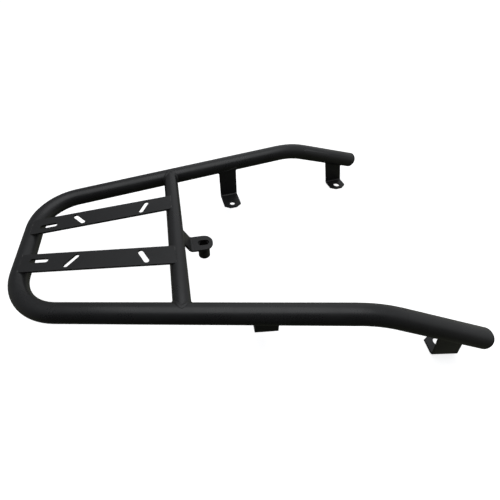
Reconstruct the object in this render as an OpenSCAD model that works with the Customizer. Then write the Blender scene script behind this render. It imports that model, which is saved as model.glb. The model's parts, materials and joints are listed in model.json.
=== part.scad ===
// Tubular rear luggage rack: one bent hoop with two forward arms, a cross tube,
// two slotted carrier plates, four angle brackets and a centre tab with a bush.
// Millimetres. +X forward, +Y left, +Z up. Origin: middle of the footprint, on its underside.

/* [Hoop tube] */
// outside diameter of the hoop tube
tube_d = 25.4; // [19:0.1:32]
// wall of the hoop tube and of the cross tube
tube_wall = 2.0; // [1.2:0.1:3]
// half distance between the two arm axes, measured at the rear run
rear_half_w = 100; // [70:0.5:150]
// distance along X from the rear run to the front bends
arm_x = 422; // [300:1:520]
// outward angle of each arm
arm_splay = 9.0; // [0:0.1:15]
// centreline radius of the rear corners
corner_r = 67; // [45:1:90]
// centreline radius of the front bends
bend_r = 126; // [60:1:180]
// downward angle of the front legs
leg_drop = 21.5; // [5:0.5:35]
// length of a leg from its bend point to the tube end
leg_len = 137; // [60:1:200]

/* [End caps] */
// height of the domed part of a cap
cap_dome_h = 8.0; // [4:0.5:12]
// straight rim under the dome
cap_rim_h = 1.5; // [1:0.1:3]
// depth of the spigot inside the tube
cap_spigot_h = 10; // [5:1:20]
// radial play of the spigot in the tube
cap_play = 0.1; // [0.05:0.05:0.3]

/* [Cross tube] */
// outside diameter of the cross tube
cross_d = 22.2; // [16:0.1:28]
// distance along X from the rear run to the cross tube
cross_from_rear = 207.5; // [150:0.5:260]
// height of the cross tube axis above the hoop axis
cross_lift = 1.5; // [0:0.1:3]

/* [Carrier plates] */
// width of a carrier plate
plate_w = 29.5; // [24:0.5:40]
// thickness of a carrier plate
plate_t = 3.0; // [2:0.5:4]
// how far the top of the plates lies under the crown of the hoop
plate_sink = 0.2; // [0.2:0.1:3]
// half gap between the plates at the rear run
plate_half_gap = 18.8; // [12:0.1:30]
// outward angle of each plate
plate_fan = 5.2; // [0:0.1:9]
// width of every fixing slot
slot_w = 7.0; // [5:0.1:11]
// end to end length of every fixing slot
slot_l = 25.0; // [15:0.5:34]
// distance of the lengthwise slot from the rear run
slot_1_u = 26.7; // [24:0.1:40]
// inward offset of the lengthwise slot
slot_1_in = 3.0; // [0:0.1:6]
// distance of the rear diagonal slot from the rear run
slot_2_u = 70.5; // [60:0.1:90]
// angle of the rear diagonal slot to the plate
slot_2_a = -53.5; // [-75:0.5:0]
// distance of the front diagonal slot from the rear run
slot_3_u = 165; // [140:0.5:180]
// angle of the front diagonal slot to the plate
slot_3_a = 59; // [0:0.5:75]

/* [Brackets] */
// width of a bracket strip
strip_w = 29.5; // [20:0.5:40]
// thickness of the strips and of the tab
strip_t = 3.0; // [2:0.5:5]
// inside radius of the bracket bends
bend_in_r = 2.5; // [1:0.5:6]
// distance along X from the rear run to the rear brackets
rear_br_x = 307; // [250:0.5:350]
// inward offset of the rear strips from the arm axis
rear_br_in = 10.0; // [0:0.5:12]
// plan angle of the rear brackets
rear_br_yaw = 4; // [0:0.5:12]
// forward lean of the rear strips
rear_br_lean = 2.5; // [0:0.5:10]
// underside of the rear feet below the hoop axis
rear_foot_z = 60.5; // [30:0.5:80]
// length of the rear feet
rear_foot_l = 38; // [25:0.5:50]
// distance from the foot tip to the rear hole
rear_hole_tip = 10; // [8:0.5:16]
// rear hole diameter
rear_hole_d = 9.0; // [6:0.1:12]
// distance along X from the rear run to the front brackets
front_br_x = 524; // [450:0.5:560]
// plan angle of the front brackets
front_br_yaw = 6; // [0:0.5:12]
// forward lean of the front strips
front_br_lean = 13; // [0:0.5:20]
// underside of the front feet below the hoop axis
front_foot_z = 94.5; // [60:0.5:120]
// length of the front feet
front_foot_l = 28; // [22:0.5:40]
// distance from the foot tip to the front hole
front_hole_tip = 10.5; // [8:0.5:14]
// front hole diameter
front_hole_d = 11.0; // [8:0.1:13]
// corner chamfer of the feet, along the width
foot_cham_w = 9.0; // [2:0.5:12]
// corner chamfer of the feet, along the length
foot_cham_l = 6.5; // [2:0.5:12]

/* [Centre tab] */
// width of the centre tab
tab_w = 28; // [18:0.5:32]
// top of the tab's level part below the hoop axis
tab_top_z = 29; // [20:0.5:40]
// distance along X from the cross tube to the bush axis
bush_x = 38; // [28:0.5:50]
// slope of the tab's root
tab_slope = 63; // [45:1:80]
// distance along X from the cross tube to the tab's bend centre
tab_bend_x = 22; // [14:0.5:26]
// inside radius of the tab's bend
tab_bend_r = 4; // [2:0.5:8]
// length of the slot in the tab
tab_slot_l = 17; // [14:0.5:22]
// width of the slot in the tab
tab_slot_w = 10.5; // [6:0.1:13]
// outside diameter of the bush
bush_d = 17.5; // [12:0.5:20]
// bore of the bush
bush_bore = 13.0; // [6:0.1:13.5]
// underside of the bush below the hoop axis
bush_foot_z = 56; // [40:0.5:60]

/* [Welds] */
// leg length of the large weld beads
bead = 2.5; // [1.5:0.1:4]
// leg length of the small weld beads
bead_small = 1.8; // [1:0.1:3]
// rise of the cross tube's beads above the crown of the hoop
bead_rise = 0.5; // [0.2:0.1:1.5]

/* [Hidden] */
$fn = 96;
// reach of a bend into the straight runs beside it
lap = 0.5;
// how much smaller a bend's section is than the straight runs'
bend_thin = 0.08;
tube_r = tube_d / 2;
cross_r = cross_d / 2;
corner_turn = 90 - arm_splay;
corner_tan = corner_r * tan(corner_turn / 2);
bend_tan = bend_r * tan(leg_drop / 2);
arm_len = arm_x / cos(arm_splay);
rear_run_half = rear_half_w - corner_tan;
dome_r = (tube_r * tube_r + cap_dome_h * cap_dome_h) / (2 * cap_dome_h);
leg_dir_x = cos(leg_drop) * cos(arm_splay);
dome_centre_s = leg_len + cap_rim_h + cap_dome_h - dome_r;
front_x = arm_x + dome_centre_s * leg_dir_x + dome_r;
rear_x = -(front_x - tube_r) / 2;
lift_z = front_foot_z;
plate_top = tube_r - plate_sink;
plate_mid_y = plate_half_gap + plate_w / 2;
arm_rear_y = rear_half_w + rear_br_x * tan(arm_splay);
arm_cross_y = rear_half_w + cross_from_rear * tan(arm_splay);
leg_front_y = rear_half_w + front_br_x * tan(arm_splay);
leg_front_z = (front_br_x - arm_x) / cos(arm_splay) * tan(leg_drop);
bend_out_r = bend_in_r + strip_t;
tab_ring_r = tab_bend_r + strip_t;
bead_top = tube_r + bead_rise;
// half length of a rod that stands in for the cross tube between the arms
cross_reach = 100;
// how deep the tops of the rear strips and of their beads lie below the arm axis
rear_strip_top = 3.5;
rear_bead_top = 4.5;
// length of the tab's sloping root, up into the cross tube
tab_root_l = 27;
coat = [0.07, 0.07, 0.072];
plastic = [0.05, 0.05, 0.05];

// ---- frames ----

module rack_frame() {
    translate([rear_x, 0, lift_z]) children();
}

module left_or_right(side) {
    mirror([0, side < 0 ? 1 : 0, 0]) children();
}

module arm_frame() {
    translate([0, rear_half_w, 0]) rotate([0, 0, arm_splay]) children();
}

module leg_frame() {
    arm_frame() translate([arm_len, 0, 0]) rotate([0, leg_drop, 0]) children();
}

module cross_frame() {
    translate([cross_from_rear, 0, cross_lift]) children();
}

module plate_frame() {
    translate([0, plate_mid_y, 0]) rotate([0, 0, plate_fan]) children();
}

module rear_br_frame() {
    translate([rear_br_x, arm_rear_y - rear_br_in / cos(arm_splay), 0])
        rotate([0, 0, rear_br_yaw])
            children();
}

module front_br_frame() {
    translate([front_br_x, leg_front_y, 0]) rotate([0, 0, front_br_yaw]) children();
}

module tab_frame() {
    translate([cross_from_rear + bush_x, 0, 0]) children();
}

// ---- hoop runs and bends, as solid rods ----

module run_x(len, r) {
    rotate([0, 90, 0]) cylinder(r = r, h = len);
}

module corner_elbow(r) {
    lap_a = lap / corner_r * 180 / PI;
    translate([corner_r, rear_run_half, 0])
        rotate([0, 0, 90 + arm_splay - lap_a])
            rotate_extrude(angle = corner_turn + 2 * lap_a)
                translate([corner_r, 0])
                    circle(r = r - bend_thin);
}

module front_elbow(r) {
    lap_a = lap / bend_r * 180 / PI;
    arm_frame()
        translate([arm_len - bend_tan, 0, -bend_r])
            rotate([90, 0, 0])
                rotate([0, 0, 90 - leg_drop - lap_a])
                    rotate_extrude(angle = leg_drop + 2 * lap_a)
                        translate([bend_r, 0])
                            circle(r = r - bend_thin);
}

module arm_run(r) {
    arm_frame() translate([corner_tan, 0, 0]) run_x(arm_len - corner_tan - bend_tan, r);
}

module leg_run(r, past_end) {
    leg_frame() translate([bend_tan, 0, 0]) run_x(leg_len - bend_tan + past_end, r);
}

module rear_run(r) {
    rotate([90, 0, 0]) cylinder(r = r, h = 2 * rear_run_half, center = true);
}

module hoop_half(r, past_end) {
    corner_elbow(r);
    arm_run(r);
    front_elbow(r);
    leg_run(r, past_end);
}

module hoop_rod(r, past_end) {
    rear_run(r);
    hoop_half(r, past_end);
    mirror([0, 1, 0]) hoop_half(r, past_end);
}

module rear_solid() {
    rear_run(tube_r);
    corner_elbow(tube_r);
}

module cross_rod(r, half_len) {
    cross_frame() rotate([90, 0, 0]) cylinder(r = r, h = 2 * half_len, center = true);
}

// ---- plates ----

module slot_cut(len, wid, h) {
    half = (len - wid) / 2;
    translate([-half, 0, 0]) cylinder(d = wid, h = h, center = true);
    translate([half, 0, 0]) cylinder(d = wid, h = h, center = true);
    cube([2 * half, wid, h], center = true);
}

module plate_slots() {
    cut_h = 4 * plate_t;
    translate([slot_1_u, -slot_1_in, plate_top]) slot_cut(slot_l, slot_w, cut_h);
    translate([slot_2_u, 0, plate_top]) rotate([0, 0, slot_2_a]) slot_cut(slot_l, slot_w, cut_h);
    translate([slot_3_u, 0, plate_top]) rotate([0, 0, slot_3_a]) slot_cut(slot_l, slot_w, cut_h);
}

module plate_blank() {
    translate([0, -plate_w / 2, plate_top - plate_t])
        cube([cross_from_rear / cos(plate_fan), plate_w, plate_t]);
}

module plate_half() {
    difference() {
        plate_frame() {
            difference() {
                plate_blank();
                plate_slots();
            }
        }
        rear_solid();
        cross_rod(cross_r, cross_reach);
    }
}

module plate_end_bead(u, z) {
    translate([u, 0, z])
        rotate([90, 0, 0])
            cylinder(r = bead_small, h = plate_w - 2, center = true);
}

// beads in the grooves under both ends of a plate
module plate_beads_half() {
    seam_z = plate_top - plate_t;
    seam_cross_z = seam_z - cross_lift;
    du_rear = sqrt(tube_r * tube_r - seam_z * seam_z);
    du_cross = sqrt(cross_r * cross_r - seam_cross_z * seam_cross_z);
    shift = bead_small / 4;
    difference() {
        plate_frame() {
            plate_end_bead(du_rear + shift, seam_z - shift);
            plate_end_bead((cross_from_rear - du_cross) / cos(plate_fan) - shift, seam_z - shift);
        }
        rear_solid();
        cross_rod(cross_r, cross_reach);
        plate_frame() plate_blank();
    }
}

// ---- brackets ----

module foot_outline(len) {
    half = strip_w / 2;
    polygon([
        [-half, 0],
        [half, 0],
        [half, -(len - foot_cham_l)],
        [half - foot_cham_w, -len],
        [-half + foot_cham_w, -len],
        [-half, -(len - foot_cham_l)]
    ]);
}

// level foot, from its bend to its chamfered tip; y = 0 is the strip's outer face
module foot_flat(len, hole_tip, hole_d) {
    difference() {
        linear_extrude(height = strip_t) foot_outline(len);
        translate([0, 0, strip_t / 2])
            cube([strip_w + 2, 2 * bend_out_r, 2 * strip_t], center = true);
        translate([0, -(len - hole_tip), strip_t / 2])
            cylinder(d = hole_d, h = 3 * strip_t, center = true);
    }
}

module foot_bend() {
    translate([-strip_w / 2, -bend_out_r, bend_out_r])
        rotate([90, 0, 90])
            rotate([0, 0, -90])
                linear_extrude(height = strip_w)
                    intersection() {
                        difference() {
                            circle(r = bend_out_r);
                            circle(r = bend_in_r);
                        }
                        square([bend_out_r + 1, bend_out_r + 1]);
                    }
}

module foot_part(len, hole_tip, hole_d) {
    foot_bend();
    foot_flat(len, hole_tip, hole_d);
}

module upright(z_low, z_high, lean, grow) {
    half = strip_w / 2 + grow;
    shift = (z_high - z_low) * tan(lean);
    translate([0, grow, 0])
        rotate([90, 0, 0])
            linear_extrude(height = strip_t + 2 * grow)
                polygon([
                    [-half, z_low],
                    [half, z_low],
                    [half - shift, z_high],
                    [-half - shift, z_high]
                ]);
}

module rear_bracket_half() {
    difference() {
        rear_br_frame() translate([0, strip_t / 2, 0]) {
            translate([0, 0, -rear_foot_z]) foot_part(rear_foot_l, rear_hole_tip, rear_hole_d);
            upright(-rear_foot_z + bend_out_r, -rear_strip_top, rear_br_lean, 0);
        }
        arm_run(tube_r);
    }
}

module front_bracket_half() {
    difference() {
        front_br_frame() translate([0, strip_t / 2, 0]) {
            translate([0, 0, -front_foot_z]) foot_part(front_foot_l, front_hole_tip, front_hole_d);
            upright(-front_foot_z + bend_out_r, -leg_front_z, front_br_lean, 0);
        }
        leg_run(tube_r, 0);
    }
}

module rear_bracket_bead_half() {
    z_low = -rear_foot_z + bend_out_r;
    difference() {
        intersection() {
            rear_br_frame() translate([0, strip_t / 2, 0]) upright(z_low, -rear_bead_top, rear_br_lean, bead);
            arm_run(tube_r + bead);
        }
        arm_run(tube_r);
        rear_br_frame() translate([0, strip_t / 2, 0]) upright(z_low, 0, rear_br_lean, 0);
    }
}

module front_bracket_bead_half() {
    z_low = -front_foot_z + bend_out_r;
    difference() {
        intersection() {
            front_br_frame() translate([0, strip_t / 2, 0]) upright(z_low, -leg_front_z, front_br_lean, bead);
            leg_run(tube_r + bead, 0);
        }
        leg_run(tube_r, 0);
        front_br_frame() translate([0, strip_t / 2, 0]) upright(z_low, -leg_front_z, front_br_lean, 0);
    }
}

// ---- centre tab ----

module tab_bend() {
    lap_t = 0.2;
    lap_a = lap_t / tab_bend_r * 180 / PI;
    rotate([90, 0, 0])
        rotate([0, 0, 270 - tab_slope - lap_a])
            rotate_extrude(angle = tab_slope + 2 * lap_a)
                translate([tab_bend_r + bend_thin, -tab_w / 2 + bend_thin])
                    square([strip_t - 2 * bend_thin, tab_w - 2 * bend_thin]);
}

module tab_root(grow) {
    rotate([0, tab_slope, 0])
        translate([-tab_root_l, -tab_w / 2 - grow, -tab_ring_r - grow])
            cube([tab_root_l, tab_w + 2 * grow, strip_t + 2 * grow]);
}

module tab_solid() {
    reach = bush_x - tab_bend_x;
    difference() {
        union() {
            translate([-reach, 0, -tab_top_z + tab_bend_r]) {
                tab_bend();
                tab_root(0);
            }
            translate([-reach, -tab_w / 2, -tab_top_z - strip_t]) cube([reach, tab_w, strip_t]);
            translate([0, 0, -tab_top_z - strip_t]) cylinder(d = tab_w, h = strip_t);
        }
        translate([0, 0, -tab_top_z]) slot_cut(tab_slot_l, tab_slot_w, 4 * strip_t);
    }
}

// ---- nodes ----

module hoop_tube() {
    $fn = 60;
    color(coat) rack_frame()
        difference() {
            hoop_rod(tube_r, 0);
            hoop_rod(tube_r - tube_wall, 1);
        }
}

module end_cap(side) {
    color(plastic) rack_frame() left_or_right(side)
        leg_frame()
            translate([leg_len, 0, 0])
                rotate([0, 90, 0]) {
                    translate([0, 0, -cap_spigot_h])
                        cylinder(r = tube_r - tube_wall - cap_play, h = cap_spigot_h);
                    cylinder(r = tube_r, h = cap_rim_h);
                    intersection() {
                        translate([0, 0, cap_rim_h + cap_dome_h - dome_r]) sphere(r = dome_r);
                        translate([0, 0, cap_rim_h]) cylinder(r = tube_r, h = 2 * cap_dome_h);
                    }
                }
}

module cross_tube() {
    color(coat) rack_frame()
        difference() {
            cross_rod(cross_r, arm_cross_y);
            cross_rod(cross_r - tube_wall, arm_cross_y + 1);
            arm_run(tube_r);
            mirror([0, 1, 0]) arm_run(tube_r);
        }
}

module carrier_plate(side) {
    color(coat) rack_frame() left_or_right(side) plate_half();
}

module rear_bracket(side) {
    color(coat) rack_frame() left_or_right(side) rear_bracket_half();
}

module front_bracket(side) {
    color(coat) rack_frame() left_or_right(side) front_bracket_half();
}

module centre_tab() {
    color(coat) rack_frame()
        difference() {
            tab_frame() tab_solid();
            cross_rod(cross_r, cross_reach);
        }
}

module centre_bush() {
    bush_h = bush_foot_z - tab_top_z - strip_t;
    color(coat) rack_frame() tab_frame()
        translate([0, 0, -bush_foot_z])
            difference() {
                cylinder(d = bush_d, h = bush_h);
                translate([0, 0, -1]) cylinder(d = bush_bore, h = bush_h + 2);
            }
}

module cross_weld(side) {
    color(coat) rack_frame() left_or_right(side)
        difference() {
            intersection() {
                arm_run(tube_r + bead);
                cross_frame()
                    rotate([-90, 0, 0])
                        cylinder(r = cross_r + bead, h = arm_cross_y);
                translate([cross_from_rear, arm_cross_y, bead_top - 2 * tube_d])
                    cube(4 * tube_d, center = true);
            }
            arm_run(tube_r);
            cross_rod(cross_r, arm_cross_y + 1);
        }
}

module plate_welds(side) {
    color(coat) rack_frame() left_or_right(side) plate_beads_half();
}

module rear_bracket_weld(side) {
    color(coat) rack_frame() left_or_right(side) rear_bracket_bead_half();
}

module front_bracket_weld(side) {
    color(coat) rack_frame() left_or_right(side) front_bracket_bead_half();
}

module tab_weld() {
    color(coat) rack_frame()
        difference() {
            intersection() {
                tab_frame() translate([tab_bend_x - bush_x, 0, -tab_top_z + tab_bend_r]) tab_root(bead);
                cross_rod(cross_r + bead, cross_reach);
            }
            cross_rod(cross_r, cross_reach + 1);
            tab_frame() translate([tab_bend_x - bush_x, 0, -tab_top_z + tab_bend_r]) tab_root(0);
        }
}

module bush_weld() {
    color(coat) rack_frame() tab_frame()
        translate([0, 0, -tab_top_z - strip_t])
            rotate_extrude()
                polygon([
                    [bush_d / 2, 0],
                    [bush_d / 2 + bead_small, 0],
                    [bush_d / 2, -bead_small]
                ]);
}

hoop_tube();
end_cap(1);  // end_cap_left
end_cap(-1);  // end_cap_right
cross_tube();
carrier_plate(1);  // plate_left
carrier_plate(-1);  // plate_right
rear_bracket(1);  // rear_bracket_left
rear_bracket(-1);  // rear_bracket_right
front_bracket(1);  // front_bracket_left
front_bracket(-1);  // front_bracket_right
centre_tab();
centre_bush();
cross_weld(1);  // cross_weld_left
cross_weld(-1);  // cross_weld_right
plate_welds(1);  // plate_welds_left
plate_welds(-1);  // plate_welds_right
rear_bracket_weld(1);  // rear_bracket_weld_left
rear_bracket_weld(-1);  // rear_bracket_weld_right
front_bracket_weld(1);  // front_bracket_weld_left
front_bracket_weld(-1);  // front_bracket_weld_right
tab_weld();
bush_weld();
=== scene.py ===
"""Look of a welded tubular rear rack: powder coat on the CAD frame, weld beads, stage and light."""

import json
import math

import bpy
from mathutils import Euler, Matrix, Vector, noise


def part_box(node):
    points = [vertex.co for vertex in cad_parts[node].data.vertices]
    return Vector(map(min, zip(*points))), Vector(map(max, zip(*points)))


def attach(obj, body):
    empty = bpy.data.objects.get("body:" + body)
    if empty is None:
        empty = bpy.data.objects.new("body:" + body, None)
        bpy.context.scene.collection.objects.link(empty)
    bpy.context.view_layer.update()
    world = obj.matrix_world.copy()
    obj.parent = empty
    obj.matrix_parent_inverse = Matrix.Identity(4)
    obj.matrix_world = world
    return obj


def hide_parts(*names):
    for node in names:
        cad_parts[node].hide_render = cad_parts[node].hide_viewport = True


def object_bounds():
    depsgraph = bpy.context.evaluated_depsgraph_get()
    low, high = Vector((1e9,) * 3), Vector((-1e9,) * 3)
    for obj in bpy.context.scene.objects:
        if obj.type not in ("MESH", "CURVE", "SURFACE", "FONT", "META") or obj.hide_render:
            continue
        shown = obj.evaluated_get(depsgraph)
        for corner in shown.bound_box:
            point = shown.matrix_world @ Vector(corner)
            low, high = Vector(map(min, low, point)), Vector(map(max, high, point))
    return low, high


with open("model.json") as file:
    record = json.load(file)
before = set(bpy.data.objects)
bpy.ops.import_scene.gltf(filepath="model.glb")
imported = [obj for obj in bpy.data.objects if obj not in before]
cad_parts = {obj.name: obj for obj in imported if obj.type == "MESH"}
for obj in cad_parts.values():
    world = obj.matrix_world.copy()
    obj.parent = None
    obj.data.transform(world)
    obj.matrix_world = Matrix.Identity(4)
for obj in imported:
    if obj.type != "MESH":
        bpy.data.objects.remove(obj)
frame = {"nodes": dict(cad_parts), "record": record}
CAD_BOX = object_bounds()
NODES = frame["nodes"]
MM = 0.001

# ---- sizes of the CAD model that the beads follow ----
TUBE_R = 12.7 * MM
CROSS_R = 11.1 * MM
STRIP_T = 3.0 * MM
STRIP_HALF = 14.75 * MM
ARM_SPLAY = math.radians(9)
LEG_DROP = math.radians(21.5)
REAR_YAW = math.radians(4)
REAR_LEAN = math.radians(2.5)
FRONT_YAW = math.radians(6)
FRONT_LEAN = math.radians(13)
TAB_SLOPE = math.radians(63)
TAB_HALF = 14 * MM
PLATE_FAN = math.radians(5.2)
PLATE_HALF = 14.75 * MM
PLATE_SINK = 0.2 * MM
BUSH_R = 8.75 * MM
REAR_HALF_W = 100 * MM
ARM_X = 422 * MM
REAR_BRACKET_X = 307 * MM
REAR_BRACKET_IN = 10 * MM
FRONT_BRACKET_X = 524 * MM
BEND_OUT_R = 5.5 * MM
PLATE_MIDDLE_Y = 33.55 * MM
TAB_BEND_X = 22 * MM
TAB_BEND_R = 4 * MM
TAB_TOP_DROP = 29 * MM


# ---- materials ----


class Nodes:
    """A short way to build one node material."""

    def __init__(self, name):
        self.mat = bpy.data.materials.new(name)
        self.mat.use_nodes = True
        self.tree = self.mat.node_tree
        self.tree.nodes.clear()
        self.out = self.add("ShaderNodeOutputMaterial")
        self.bsdf = self.add("ShaderNodeBsdfPrincipled")
        self.link(self.bsdf.outputs["BSDF"], self.out.inputs["Surface"])
        self.place = self.add("ShaderNodeTexCoord").outputs["Object"]

    def add(self, kind, **values):
        node = self.tree.nodes.new(kind)
        for key, value in values.items():
            setattr(node, key, value)
        return node

    def link(self, a, b):
        self.tree.links.new(a, b)

    def noise(self, size, detail, rough):
        """Noise whose features are about size metres wide."""
        node = self.add("ShaderNodeTexNoise")
        node.inputs["Scale"].default_value = 1.0 / size
        node.inputs["Detail"].default_value = detail
        node.inputs["Roughness"].default_value = rough
        self.link(self.place, node.inputs["Vector"])
        return node.outputs["Fac"]

    def ramp(self, value, low, high, to_low=0.0, to_high=1.0):
        node = self.add("ShaderNodeMapRange", interpolation_type="SMOOTHSTEP")
        node.inputs["From Min"].default_value = low
        node.inputs["From Max"].default_value = high
        node.inputs["To Min"].default_value = to_low
        node.inputs["To Max"].default_value = to_high
        self.link(value, node.inputs["Value"])
        return node.outputs["Result"]

    def math(self, operation, a, b):
        node = self.add("ShaderNodeMath", operation=operation)
        for socket, value in zip(node.inputs, (a, b)):
            if isinstance(value, (int, float)):
                socket.default_value = value
            else:
                self.link(value, socket)
        return node.outputs["Value"]

    def mix(self, factor, a, b):
        node = self.add("ShaderNodeMix", data_type="RGBA")
        self.link(factor, node.inputs["Factor"])
        for socket, value in ((node.inputs["A"], a), (node.inputs["B"], b)):
            if isinstance(value, tuple):
                socket.default_value = (*value, 1.0)
            else:
                self.link(value, socket)
        return node.outputs["Result"]

    def bump(self, height, distance, below=None):
        node = self.add("ShaderNodeBump")
        node.inputs["Distance"].default_value = distance
        self.link(height, node.inputs["Height"])
        if below is not None:
            self.link(below, node.inputs["Normal"])
        return node.outputs["Normal"]

    def specks(self, cell, share, radius):
        """Mask of round specks: one in each cell of a share of the cells."""
        node = self.add("ShaderNodeTexVoronoi")
        node.inputs["Scale"].default_value = 1.0 / cell
        self.link(self.place, node.inputs["Vector"])
        near = self.ramp(node.outputs["Distance"], radius / cell, 0.55 * radius / cell)
        split = self.add("ShaderNodeSeparateColor")
        self.link(node.outputs["Color"], split.inputs["Color"])
        chosen = self.math("GREATER_THAN", split.outputs["Red"], 1.0 - share)
        return self.math("MULTIPLY", near, chosen)

    def worn_and_highlit_edges(self, radius):
        """Mask of convex edges, broken up by noise: where the coat is worn thin and a painted
        highlight lies.
        """
        soft = self.add("ShaderNodeBevel", samples=4)
        soft.inputs["Radius"].default_value = radius
        hard = self.add("ShaderNodeNewGeometry")
        dot = self.add("ShaderNodeVectorMath", operation="DOT_PRODUCT")
        self.link(soft.outputs["Normal"], dot.inputs[0])
        self.link(hard.outputs["Normal"], dot.inputs[1])
        edge = self.ramp(dot.outputs["Value"], 0.985, 0.86)
        broken = self.ramp(self.noise(3.5 * MM, 4.0, 0.65), 0.45, 0.66)
        return self.math("MULTIPLY", edge, broken)


def powder_coat(name, dark, pale, rough, peel, wear_and_highlight, specks=0.0):
    """Satin powder coat: fine orange peel, slow tone changes, paler convex edges that are thinned
    coat and a painted highlight, a few pale specks that are dust and painted glints.
    """
    m = Nodes(name)
    tone = m.ramp(m.noise(70 * MM, 4.0, 0.5), 0.32, 0.68)
    colour = m.mix(tone, dark, pale)
    cloud = m.ramp(m.noise(9 * MM, 5.0, 0.6), 0.35, 0.7)
    colour = m.mix(m.math("MULTIPLY", cloud, 0.25), colour, tuple(1.35 * c for c in pale))
    if specks:
        # pale specks: dust, and painted glints on the coat
        spots = m.specks(15 * MM, specks, 0.55 * MM)
        colour = m.mix(spots, colour, (0.34, 0.33, 0.31))
    if wear_and_highlight:
        # paler convex edges: thinned coat, and a painted highlight along the edges
        edge = m.worn_and_highlit_edges(0.9 * MM)
        colour = m.mix(m.math("MULTIPLY", edge, wear_and_highlight), colour, (0.16, 0.155, 0.15))
    m.link(colour, m.bsdf.inputs["Base Color"])
    rough_slow = m.ramp(m.noise(38 * MM, 3.0, 0.5), 0.3, 0.7, rough - 0.05, rough + 0.05)
    rough_fine = m.ramp(m.noise(2.2 * MM, 3.0, 0.6), 0.3, 0.7, -0.035, 0.035)
    roughness = m.math("ADD", rough_slow, rough_fine)
    if wear_and_highlight:
        roughness = m.math("SUBTRACT", roughness, m.math("MULTIPLY", edge, 0.08))
    m.link(roughness, m.bsdf.inputs["Roughness"])
    peel_bump = m.bump(m.noise(1.5 * MM, 2.0, 0.5), peel * MM)
    grain = m.bump(m.noise(0.42 * MM, 3.0, 0.6), 0.3 * peel * MM, below=peel_bump)
    m.link(grain, m.bsdf.inputs["Normal"])
    m.bsdf.inputs["Specular IOR Level"].default_value = 0.5
    m.bsdf.inputs["Coat Weight"].default_value = 0.06
    m.bsdf.inputs["Coat Roughness"].default_value = 0.3
    return m.mat


def moulded_cap(name):
    """Matte black moulded plastic with a fine spark-eroded grain."""
    m = Nodes(name)
    tone = m.ramp(m.noise(12 * MM, 4.0, 0.6), 0.3, 0.7)
    m.link(m.mix(tone, (0.009, 0.0091, 0.0095), (0.013, 0.0132, 0.0136)), m.bsdf.inputs["Base Color"])
    m.link(m.ramp(m.noise(3 * MM, 3.0, 0.6), 0.3, 0.7, 0.5, 0.62), m.bsdf.inputs["Roughness"])
    grain = m.bump(m.noise(0.5 * MM, 4.0, 0.7), 0.03 * MM)
    m.link(grain, m.bsdf.inputs["Normal"])
    return m.mat


COATS = {
    "tube_coat": powder_coat(
        "rack_tube_coat", (0.0105, 0.0106, 0.011), (0.0145, 0.0147, 0.0153), 0.32, 0.02, 0.0, 0.08
    ),
    "plate_coat": powder_coat(
        "rack_plate_coat", (0.0105, 0.0105, 0.0108), (0.014, 0.0141, 0.0146), 0.38, 0.02, 0.5
    ),
    "weld_coat": powder_coat(
        "rack_weld_coat", (0.0095, 0.0096, 0.0099), (0.013, 0.0131, 0.0136), 0.33, 0.02, 0.0
    ),
    "cap_plastic": moulded_cap("rack_cap_plastic"),
}

SLOT_OF = {s["node"]: s["material_slot"] for s in frame["record"]["subparts"]}
for node_name, node in NODES.items():
    node.data.materials.clear()
    node.data.materials.append(COATS[SLOT_OF[node_name]])


# ---- rounded edges on the plate work ----

EDGE_ROUND = 0.45 * MM
ROUNDED = (
    "plate_left", "plate_right", "rear_bracket_left", "rear_bracket_right",
    "front_bracket_left", "front_bracket_right", "centre_tab", "centre_bush"
)


def round_edges(piece, width):
    weld = piece.modifiers.new("join", "WELD")
    weld.merge_threshold = 0.01 * MM
    flat = piece.modifiers.new("flats", "DECIMATE")
    flat.decimate_type = "DISSOLVE"
    flat.angle_limit = math.radians(1.5)
    bevel = piece.modifiers.new("edges", "BEVEL")
    bevel.width = width
    bevel.segments = 3
    bevel.limit_method = "ANGLE"
    bevel.angle_limit = math.radians(38)
    bevel.harden_normals = True


def close_steps(piece):
    """Join the 0.08 mm steps between the straight runs and the bends of a tube."""
    weld = piece.modifiers.new("join", "WELD")
    weld.merge_threshold = 0.2 * MM


for node_name, node in NODES.items():
    if node_name in ROUNDED:
        round_edges(node, EDGE_ROUND)
close_steps(NODES["hoop_tube"])


# ---- weld beads ----


def cylinder_hit(start, way, axis_point, axis_way, radius):
    """First point where the ray meets the cylinder, and the outward normal there."""
    a = axis_way.normalized()
    d = way - a * way.dot(a)
    m = start - axis_point
    m = m - a * m.dot(a)
    qa, qb, qc = d.dot(d), 2 * m.dot(d), m.dot(m) - radius * radius
    root = math.sqrt(max(qb * qb - 4 * qa * qc, 0.0))
    t = (-qb - root) / (2 * qa)
    point = start + way * t
    rel = point - axis_point
    return point, (rel - a * rel.dot(a)).normalized()


def resample(points, normals, step, closed):
    """Even spacing along a line, with its normals."""
    ends = list(zip(points, normals))
    if closed:
        ends.append(ends[0])
    lengths = [0.0]
    for (p, _), (q, _) in zip(ends, ends[1:]):
        lengths.append(lengths[-1] + (q - p).length)
    count = max(8, round(lengths[-1] / step))
    out, j = [], 0
    for i in range(count + (0 if closed else 1)):
        s = lengths[-1] * i / count
        while j < len(lengths) - 2 and lengths[j + 1] < s:
            j += 1
        f = (s - lengths[j]) / max(lengths[j + 1] - lengths[j], 1e-12)
        point = ends[j][0].lerp(ends[j + 1][0], f)
        out.append((s, point, ends[j][1].lerp(ends[j + 1][1], f).normalized()))
    return out


def smooth_normals(rows, closed, rounds=6):
    for _ in range(rounds):
        n = len(rows)
        fresh = []
        for i, (s, p, v) in enumerate(rows):
            before = rows[(i - 1) % n][2] if closed or i else v
            after = rows[(i + 1) % n][2] if closed or i < n - 1 else v
            fresh.append((s, p, (before + 2 * v + after).normalized()))
        rows = fresh
    return rows


BEAD_SIDES = 14
BEAD_STEP = 0.28 * MM
RIPPLE = 1.7 * MM
# how far below its top limit a bead begins to flatten
SOFT_TOP = 0.6 * MM
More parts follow.
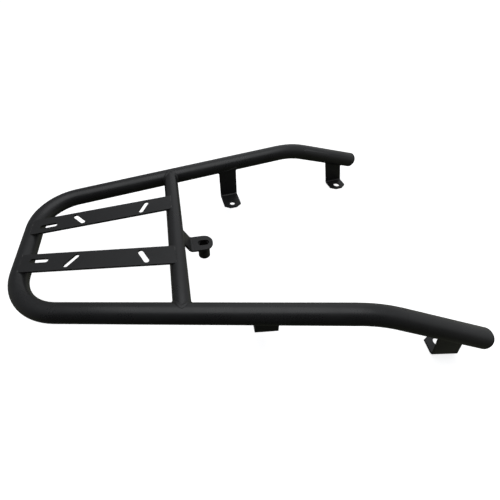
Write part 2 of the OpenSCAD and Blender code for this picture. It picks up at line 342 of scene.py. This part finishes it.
# half width and rise of each kind of bead
CROSS_BEAD = (2.6 * MM, 1.25 * MM)
REAR_BEAD = (1.9 * MM, 1.1 * MM)
FRONT_BEAD = (2.3 * MM, 1.7 * MM)
TAB_BEAD = (2.2 * MM, 1.6 * MM)
PLATE_BEAD = (1.9 * MM, 1.5 * MM)
BUSH_BEAD = (1.6 * MM, 1.2 * MM)


def bead_rows(points, normals, width, height, closed, seed, top=None):
    """Rings of a weld bead with overlapping ripples, along points, standing along normals."""
    rows = smooth_normals(resample(points, normals, BEAD_STEP, closed), closed)
    n = len(rows)
    total = rows[-1][0]
    rings = []
    for i, (s, p, v) in enumerate(rows):
        q = rows[(i + 1) % n][1] if closed or i < n - 1 else p
        r = rows[(i - 1) % n][1] if closed or i else p
        t = (q - r).normalized()
        b = t.cross(v).normalized()
        v = b.cross(t)
        drift = noise.noise(Vector((s / (9 * MM), seed, 0.5)))
        swell = 1 + 0.12 * noise.noise(Vector((s / (5 * MM), seed, 7.5)))
        end = 1.0
        if not closed:
            away = min(s, total - s) / (2.2 * MM)
            end = math.sqrt(max(1 - (1 - min(away, 1.0)) ** 2, 0.02))
        ring = []
        for k in range(BEAD_SIDES):
            angle = 2 * math.pi * k / BEAD_SIDES
            c, w = math.cos(angle), math.sin(angle)
            phase = s / RIPPLE + 0.42 * c * c * width / RIPPLE
            step = phase - math.floor(phase)
            crest = 1 - abs(2 * step - 1) ** 1.6
            grow = swell * end * (1 + 0.1 * (crest - 0.5))
            tall = height if w > 0 else 0.7 * height
            point = p + b * (c * width * grow + 0.18 * MM * drift) + v * (w * tall * grow)
            if top is not None and point.z > top - SOFT_TOP:
                over = point.z - (top - SOFT_TOP)
                point.z = top - SOFT_TOP + SOFT_TOP * (1 - math.exp(-over / SOFT_TOP))
            ring.append(point)
        rings.append(ring)
    return rings


def bead_mesh(name, lines, node_name):
    """One piece made of bead lines, each (points, normals, width, height, closed, seed, top)."""
    verts, faces = [], []
    for points, normals, width, height, closed, seed, top in lines:
        rings = bead_rows(points, normals, width, height, closed, seed, top)
        base = len(verts)
        n = len(rings)
        for ring in rings:
            verts += ring
        for i in range(n if closed else n - 1):
            here = base + i * BEAD_SIDES
            ahead = base + (i + 1) % n * BEAD_SIDES
            for k in range(BEAD_SIDES):
                m = (k + 1) % BEAD_SIDES
                faces.append([here + k, ahead + k, ahead + m, here + m])
        if not closed:
            faces.append([base + k for k in range(BEAD_SIDES)])
            faces.append([base + (n - 1) * BEAD_SIDES + k for k in reversed(range(BEAD_SIDES))])
    mesh = bpy.data.meshes.new(name)
    mesh.from_pydata(verts, [], faces)
    mesh.validate()
    mesh.update()
    for polygon in mesh.polygons:
        polygon.use_smooth = True
    piece = bpy.data.objects.new(name, mesh)
    bpy.context.scene.collection.objects.link(piece)
    mesh.materials.append(COATS["weld_coat"])
    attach(piece, "root")
    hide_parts(node_name)


def strip_loop(half, thick, steps=26):
    """Points and outward directions round a thin rectangle with rounded corners, in its own plane."""
    r = 0.8 * MM
    corners = [(half - r, thick / 2 - r, 0), (-half + r, thick / 2 - r, 90),
               (-half + r, -thick / 2 + r, 180), (half - r, -thick / 2 + r, 270)]
    out = []
    for (cx, cy, start), (nx, ny, _) in zip(corners, corners[1:] + corners[:1]):
        for i in range(5):
            a = math.radians(start + 90 * i / 4)
            out.append((cx + r * math.cos(a), cy + r * math.sin(a), math.cos(a), math.sin(a)))
        a = math.radians(start + 90)
        for i in range(1, steps):
            f = i / steps
            out.append((cx + (nx - cx) * f + r * math.cos(a), cy + (ny - cy) * f + r * math.sin(a),
                        math.cos(a), math.sin(a)))
    return out


def rack_points():
    """Axes of the tubes, from the CAD boxes."""
    hoop_low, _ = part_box("hoop_tube")
    cross_low, cross_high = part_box("cross_tube")
    rear_x = hoop_low.x + TUBE_R
    hoop_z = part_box("plate_left")[1].z - (TUBE_R - PLATE_SINK)
    cross = Vector(((cross_low.x + cross_high.x) / 2, 0, (cross_low.z + cross_high.z) / 2))
    return rear_x, hoop_z, cross


REAR_X, HOOP_Z, CROSS = rack_points()
# level that the beads on top of the rack stay under
TOP = CAD_BOX[1].z - 0.05 * MM


def side_vector(x, y, z, side):
    return Vector((x, side * y, z))


def arm_axis(side):
    way = side_vector(math.cos(ARM_SPLAY), math.sin(ARM_SPLAY), 0, side)
    return side_vector(REAR_X, REAR_HALF_W, HOOP_Z, side), way


def leg_axis(side):
    bend = side_vector(REAR_X + ARM_X, REAR_HALF_W + ARM_X * math.tan(ARM_SPLAY), HOOP_Z, side)
    level = math.cos(LEG_DROP)
    ahead, aside = level * math.cos(ARM_SPLAY), level * math.sin(ARM_SPLAY)
    return bend, side_vector(ahead, aside, -math.sin(LEG_DROP), side)


def cross_bead(side, name):
    point, way = arm_axis(side)
    points, normals = [], []
    for i in range(120):
        a = 2 * math.pi * i / 120
        out = Vector((math.cos(a), 0, math.sin(a)))
        hit, n = cylinder_hit(CROSS + out * CROSS_R, Vector((0, side, 0)), point, way, TUBE_R)
        points.append(hit)
        normals.append((n + out).normalized())
    line = (points, normals, *CROSS_BEAD, True, 3.1 + side, TOP)
    bead_mesh(name + "_bead", [line], name)


def strip_bead(side, name, place, yaw, lean, axis, size):
    """Bead round the top of a bracket strip, where it runs into a tube."""
    along = side_vector(math.cos(yaw), math.sin(yaw), 0, side)
    across = side_vector(-math.sin(yaw), math.cos(yaw), 0, side)
    up = (Vector((0, 0, 1)) - along * math.tan(lean)).normalized()
    points, normals = [], []
    for u, w, nu, nw in strip_loop(STRIP_HALF, STRIP_T):
        hit, n = cylinder_hit(place + along * u + across * w, up, axis[0], axis[1], TUBE_R)
        out = along * nu + across * nw
        points.append(hit)
        normals.append((n + 1.3 * out).normalized())
    line = (points, normals, *size, True, 5.3 + side, None)
    bead_mesh(name + "_bead", [line], name)


def bracket_beads(side, word):
    rear_x = REAR_X + REAR_BRACKET_X
    rear_y = REAR_HALF_W + REAR_BRACKET_X * math.tan(ARM_SPLAY)
    rear_y -= REAR_BRACKET_IN / math.cos(ARM_SPLAY)
    start_z = HOOP_Z - 40 * MM
    bend_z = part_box("rear_bracket_" + word)[0].z + BEND_OUT_R
    rear_x -= (start_z - bend_z) * math.tan(REAR_LEAN)
    strip_bead(side, "rear_bracket_weld_" + word, side_vector(rear_x, rear_y, start_z, side),
               REAR_YAW, REAR_LEAN, arm_axis(side), REAR_BEAD)
    bend_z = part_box("front_bracket_" + word)[0].z + BEND_OUT_R
    start_z = 12 * MM
    front_x = REAR_X + FRONT_BRACKET_X - (start_z - bend_z) * math.tan(FRONT_LEAN)
    front_y = REAR_HALF_W + FRONT_BRACKET_X * math.tan(ARM_SPLAY)
    strip_bead(side, "front_bracket_weld_" + word, side_vector(front_x, front_y, start_z, side),
               FRONT_YAW, FRONT_LEAN, leg_axis(side), FRONT_BEAD)


def tab_bead():
    """Bead round the root of the centre tab, on the cross tube."""
    down = Vector((math.cos(TAB_SLOPE), 0, -math.sin(TAB_SLOPE)))
    face = Vector((math.sin(TAB_SLOPE), 0, math.cos(TAB_SLOPE)))
    # the strip's middle plane, from the bend's centre
    bend = Vector((CROSS.x + TAB_BEND_X, 0, HOOP_Z - TAB_TOP_DROP + TAB_BEND_R))
    start = bend - face * (TAB_BEND_R + STRIP_T / 2)
    points, normals = [], []
    for u, w, nu, nw in strip_loop(TAB_HALF, STRIP_T):
        begin = start + Vector((0, u, 0)) + face * w
        hit, n = cylinder_hit(begin, -down, CROSS, Vector((0, 1, 0)), CROSS_R)
        points.append(hit)
        normals.append((n + 1.3 * (Vector((0, nu, 0)) + face * nw)).normalized())
    line = (points, normals, *TAB_BEAD, True, 9.7, None)
    bead_mesh("tab_weld_bead", [line], "tab_weld")


def plate_bead(side, word):
    """Beads in the grooves under both ends of a plate."""
    low_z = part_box("plate_" + word)[0].z
    tubes = ((REAR_X, HOOP_Z, TUBE_R, 1), (CROSS.x, CROSS.z, CROSS_R, -1))
    lines = []
    for axis_x, axis_z, radius, sign in tubes:
        run = math.sqrt(radius * radius - (low_z - axis_z) ** 2)
        points, normals = [], []
        for i in range(41):
            w = (i / 40 - 0.5) * 2 * (PLATE_HALF - 1.2 * MM)
            x = axis_x + sign * run
            u = (x - REAR_X) / math.cos(PLATE_FAN) + w * math.tan(PLATE_FAN)
            y = PLATE_MIDDLE_Y + u * math.sin(PLATE_FAN) + w * math.cos(PLATE_FAN)
            points.append(side_vector(x, y, low_z, side))
            out = Vector((sign * run, 0, low_z - axis_z)).normalized()
            normals.append((out + 1.2 * Vector((0, 0, -1))).normalized())
        lines.append((points, normals, *PLATE_BEAD, False, 11.2 + side + sign, None))
    bead_mesh("plate_welds_%s_beads" % word, lines, "plate_welds_" + word)


def bush_bead():
    low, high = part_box("centre_bush")
    centre = Vector(((low.x + high.x) / 2, 0, high.z))
    points, normals = [], []
    for i in range(90):
        a = 2 * math.pi * i / 90
        out = Vector((math.cos(a), math.sin(a), 0))
        points.append(centre + out * BUSH_R)
        normals.append((out - Vector((0, 0, 1))).normalized())
    line = (points, normals, *BUSH_BEAD, True, 14.4, None)
    bead_mesh("bush_weld_bead", [line], "bush_weld")


for side, word in ((1, "left"), (-1, "right")):
    cross_bead(side, "cross_weld_" + word)
    bracket_beads(side, word)
    plate_bead(side, word)
tab_bead()
bush_bead()


# ---- stage, light and camera ----

scene = bpy.context.scene
STAGE_RADIUS = 9.0
STAGE_SIDES = 64
WALL_HEIGHT = 14.0
COOL_WHITE = (0.98, 0.99, 1.0)


def pale_card(name, verts, faces, glow):
    """A plain pale sheet of the stage, which only the camera and shadows see."""
    m = Nodes(name)
    tone = m.ramp(m.noise(0.4, 3.0, 0.5), 0.3, 0.7)
    m.link(m.mix(tone, (0.9, 0.9, 0.9), (0.93, 0.93, 0.93)), m.bsdf.inputs["Base Color"])
    m.bsdf.inputs["Roughness"].default_value = 0.9
    m.bsdf.inputs["Specular IOR Level"].default_value = 0.1
    m.bsdf.inputs["Emission Color"].default_value = (1, 1, 1, 1)
    m.bsdf.inputs["Emission Strength"].default_value = glow
    mesh = bpy.data.meshes.new(name)
    mesh.from_pydata(verts, [], faces)
    mesh.materials.append(m.mat)
    card = bpy.data.objects.new(name, mesh)
    scene.collection.objects.link(card)
    card.location.z = CAD_BOX[0].z - 0.2 * MM
    card.visible_glossy = False
    card.visible_diffuse = False
    return card


def make_stage():
    """A round floor and, far out, a pale wall all round it."""
    angles = [2 * math.pi * i / STAGE_SIDES for i in range(STAGE_SIDES)]
    ring = [(STAGE_RADIUS * math.cos(a), STAGE_RADIUS * math.sin(a)) for a in angles]
    pale_card("floor", [(x, y, 0) for x, y in ring], [tuple(range(STAGE_SIDES))], 0.75)
    verts = [(x, y, z) for z in (0, WALL_HEIGHT) for x, y in ring]
    faces = []
    for i in range(STAGE_SIDES):
        j = (i + 1) % STAGE_SIDES
        faces.append((i, j, STAGE_SIDES + j, STAGE_SIDES + i))
    wall = pale_card("backdrop", verts, faces, 1.0)
    wall.visible_shadow = False


def make_light(name, place, size, power, tilt=0.0):
    """A rectangular softbox that faces down, or towards -Y at a tilt of -90 degrees."""
    data = bpy.data.lights.new(name, "AREA")
    data.shape = "RECTANGLE"
    data.size, data.size_y = size
    data.energy = power
    data.color = COOL_WHITE
    light = bpy.data.objects.new(name, data)
    scene.collection.objects.link(light)
    light.location = place
    light.rotation_euler.x = tilt
    light.visible_camera = False


# stops of the sky: a direction component from -1 to 1, then a colour or a grey factor
SKY_BY_HEIGHT = (
    (-1.0, (0.03, 0.032, 0.024)), (-0.55, (0.12, 0.125, 0.1)), (-0.1, (0.24, 0.24, 0.225)),
    (0.12, (0.26, 0.265, 0.27)), (0.5, (0.31, 0.315, 0.325)), (0.8, (0.4, 0.41, 0.43)),
    (1.0, (0.5, 0.51, 0.53)),
)
DIM_BY_DEPTH = ((-1.0, 0.22), (-0.65, 0.36), (-0.38, 0.9), (-0.1, 1.0), (1.0, 1.0))
DIM_BY_WIDTH = ((-1.0, 0.75), (-0.45, 0.72), (0.0, 1.0), (0.5, 1.2), (1.0, 1.7))


def grey_stops(pairs):
    return [(place, (grey, grey, grey)) for place, grey in pairs]


def world_ramp(tree, value, stops):
    """Colour ramp over a direction component from -1 to 1."""
    span = tree.nodes.new("ShaderNodeMapRange")
    span.inputs["From Min"].default_value = -1.0
    tree.links.new(value, span.inputs["Value"])
    ramp = tree.nodes.new("ShaderNodeValToRGB")
    ramp.color_ramp.interpolation = "EASE"
    elements = ramp.color_ramp.elements
    while len(elements) < len(stops):
        elements.new(0.5)
    for element, (place, colour) in zip(elements, stops):
        element.position = (place + 1) / 2
        element.color = (*colour, 1)
    tree.links.new(span.outputs["Result"], ramp.inputs["Fac"])
    return ramp.outputs["Color"]


def make_world():
    """Soft sky: bright above and ahead, dark below, dim behind the camera."""
    world = bpy.data.worlds.new("studio")
    world.use_nodes = True
    tree = world.node_tree
    tree.nodes.clear()
    out = tree.nodes.new("ShaderNodeOutputWorld")
    back = tree.nodes.new("ShaderNodeBackground")
    place = tree.nodes.new("ShaderNodeTexCoord")
    split = tree.nodes.new("ShaderNodeSeparateXYZ")
    tree.links.new(place.outputs["Generated"], split.inputs["Vector"])
    sky = world_ramp(tree, split.outputs["Z"], SKY_BY_HEIGHT)
    depth = world_ramp(tree, split.outputs["Y"], grey_stops(DIM_BY_DEPTH))
    width = world_ramp(tree, split.outputs["X"], grey_stops(DIM_BY_WIDTH))
    for factor in (depth, width):
        both = tree.nodes.new("ShaderNodeMix")
        both.data_type = "RGBA"
        both.blend_type = "MULTIPLY"
        both.inputs["Factor"].default_value = 1.0
        tree.links.new(sky, both.inputs["A"])
        tree.links.new(factor, both.inputs["B"])
        sky = both.outputs["Result"]
    tree.links.new(sky, back.inputs["Color"])
    tree.links.new(back.outputs["Background"], out.inputs["Surface"])
    scene.world = world


def make_camera():
    """Camera at the photo's viewing angle, above the right side of the rack."""
    data = bpy.data.cameras.new("camera")
    data.sensor_width = 36.0
    data.lens = 24.676
    data.shift_x = 0.1046
    data.shift_y = -0.0277
    data.clip_start = 0.01
    data.clip_end = 100.0
    camera = bpy.data.objects.new("camera", data)
    scene.collection.objects.link(camera)
    camera.location = (-0.046645, -0.344409, 0.435503)
    camera.rotation_euler = Euler(math.radians(v) for v in (43.9803, 4.0974, -6.2452))
    scene.camera = camera


make_stage()
make_world()
make_light("softbox", (0.05, -0.03, 0.8), (0.9, 0.8), 1.9)
make_light("back_softbox", (0.55, 1.2, 1.0), (1.3, 1.6), 1.4, math.radians(-90))
make_camera()
scene.view_settings.view_transform = "Standard"
